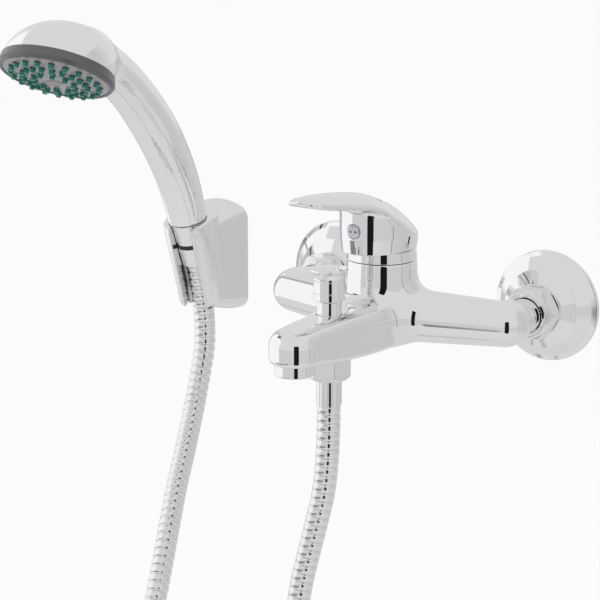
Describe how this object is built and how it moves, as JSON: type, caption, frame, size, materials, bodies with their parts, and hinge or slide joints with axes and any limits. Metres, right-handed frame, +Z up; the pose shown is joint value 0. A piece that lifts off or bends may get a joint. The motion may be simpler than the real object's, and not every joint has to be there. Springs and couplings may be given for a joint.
{
  "type": "bath mixer with hand shower",
  "caption": "Wall-mounted single-lever chrome bath mixer with a rising lever, pull-up diverter, hand shower, metal hose and wall bracket.",
  "frame": {"origin": "midway between the two threads in the wall, in the plane of the wall", "axes": "+Z up, +Y into the wall, +X to the user's right as they face the wall"},
  "size_m": [0.3039, 0.2361, 0.6231],
  "materials": {
    "chrome": "polished chrome plate",
    "brass": "turned brass, unplated",
    "plated_brass": "plated brass",
    "rubber_black": "black moulded rubber",
    "nozzle_rubber": "soft teal silicone",
    "ceramic": "lapped white ceramic",
    "cartridge_plastic": "moulded plastic",
    "steel": "stainless steel",
    "grey_plastic": "grey moulded plastic",
    "trim_grey": "satin grey plastic",
    "chrome_plastic": "chromed plastic",
    "black_band": "black plastic",
    "white_plastic": "white moulded plastic",
    "hose_metal": "polished interlocked metal hose",
    "indicator": "white button with a red and a blue half"
  },
  "bodies": {
    "fixed_parts": {"mixer_body": "chrome", "s_union_hot": "brass", "s_union_cold": "brass", "wall_flange_hot": "chrome", "wall_flange_cold": "chrome", "union_nut_hot": "chrome", "union_nut_cold": "chrome", "union_washers": "rubber_black", "inlet_nipple_hot": "brass", "inlet_nipple_cold": "brass", "cartridge_base": "cartridge_plastic", "cartridge_seals": "rubber_black", "fixed_disc": "ceramic", "cartridge_housing": "cartridge_plastic", "cartridge_nut": "brass", "cover_ring": "chrome", "diverter_bonnet": "brass", "diverter_stem_seal": "rubber_black", "diverter_spring": "steel", "aerator_housing": "chrome", "aerator_insert": "cartridge_plastic", "aerator_seal": "rubber_black", "hose_nut": "plated_brass", "hose_nut_washer": "rubber_black", "hose_insert_mixer": "brass", "hose_ferrule_mixer": "plated_brass", "hose_mixer_side": "hose_metal", "hose_handset_side": "hose_metal", "hose_coil": "hose_metal", "hose_tie": "white_plastic", "wall_bracket": "chrome_plastic", "bracket_screws": "steel"},
    "turning_cartridge": {"cartridge_rotor": "cartridge_plastic", "stem_pin": "steel"},
    "lever_assembly": {"lever": "chrome", "lever_screw": "steel", "indicator_cap": "indicator", "cartridge_stem": "brass"},
    "disc_assembly": {"moving_disc": "ceramic", "disc_carrier": "cartridge_plastic"},
    "diverter_assembly": {"diverter_knob": "chrome", "diverter_stem": "brass", "diverter_valve": "brass", "diverter_valve_seals": "rubber_black"},
    "hose_end": {"hose_insert_handset": "brass", "hose_ferrule_handset": "plated_brass"},
    "handset": {"cone_nut": "chrome", "cone_band": "black_band", "cone_washer": "rubber_black", "handset_shell": "chrome_plastic", "handset_tube": "cartridge_plastic", "spray_plate": "grey_plastic", "spray_nozzles": "nozzle_rubber", "trim_ring": "trim_grey", "spray_seal": "rubber_black"}
  },
  "joints": [
    {"name": "lever_turn", "type": "hinge", "parent": "fixed_parts", "child": "turning_cartridge", "pos_m": [0, -0.0735, 0.0332], "axis": [0, 0, 1], "range_deg": [-45, 45]},
    {"name": "lever_lift", "type": "hinge", "parent": "turning_cartridge", "child": "lever_assembly", "pos_m": [0, -0.0735, 0.0332], "axis": [-1, 0, 0], "range_deg": [0, 22]},
    {"name": "disc_slide", "type": "slide", "parent": "turning_cartridge", "child": "disc_assembly", "axis": [0, -1, 0], "range_m": [0, 0.00385]},
    {"name": "diverter_pull", "type": "slide", "parent": "fixed_parts", "child": "diverter_assembly", "axis": [0, 0, 1], "range_m": [0, 0.0053], "stiffness_N_per_m": 120, "springref_m": -0.005, "deforming": ["diverter_spring"]},
    {"name": "handset_lift", "type": "slide", "parent": "fixed_parts", "child": "hose_end", "axis": [0, -0.284, 0.9588], "range_m": [0, 0.035]},
    {"name": "handset_turn", "type": "hinge", "parent": "hose_end", "child": "handset", "pos_m": [-0.171, -0.0385, 0.038], "axis": [0, -0.284, 0.9588], "range_deg": [-90, 80]}
  ],
  "couplings": [
    {"joint": "disc_slide", "follows": "lever_lift", "m_per_rad": 0.01}
  ]
}
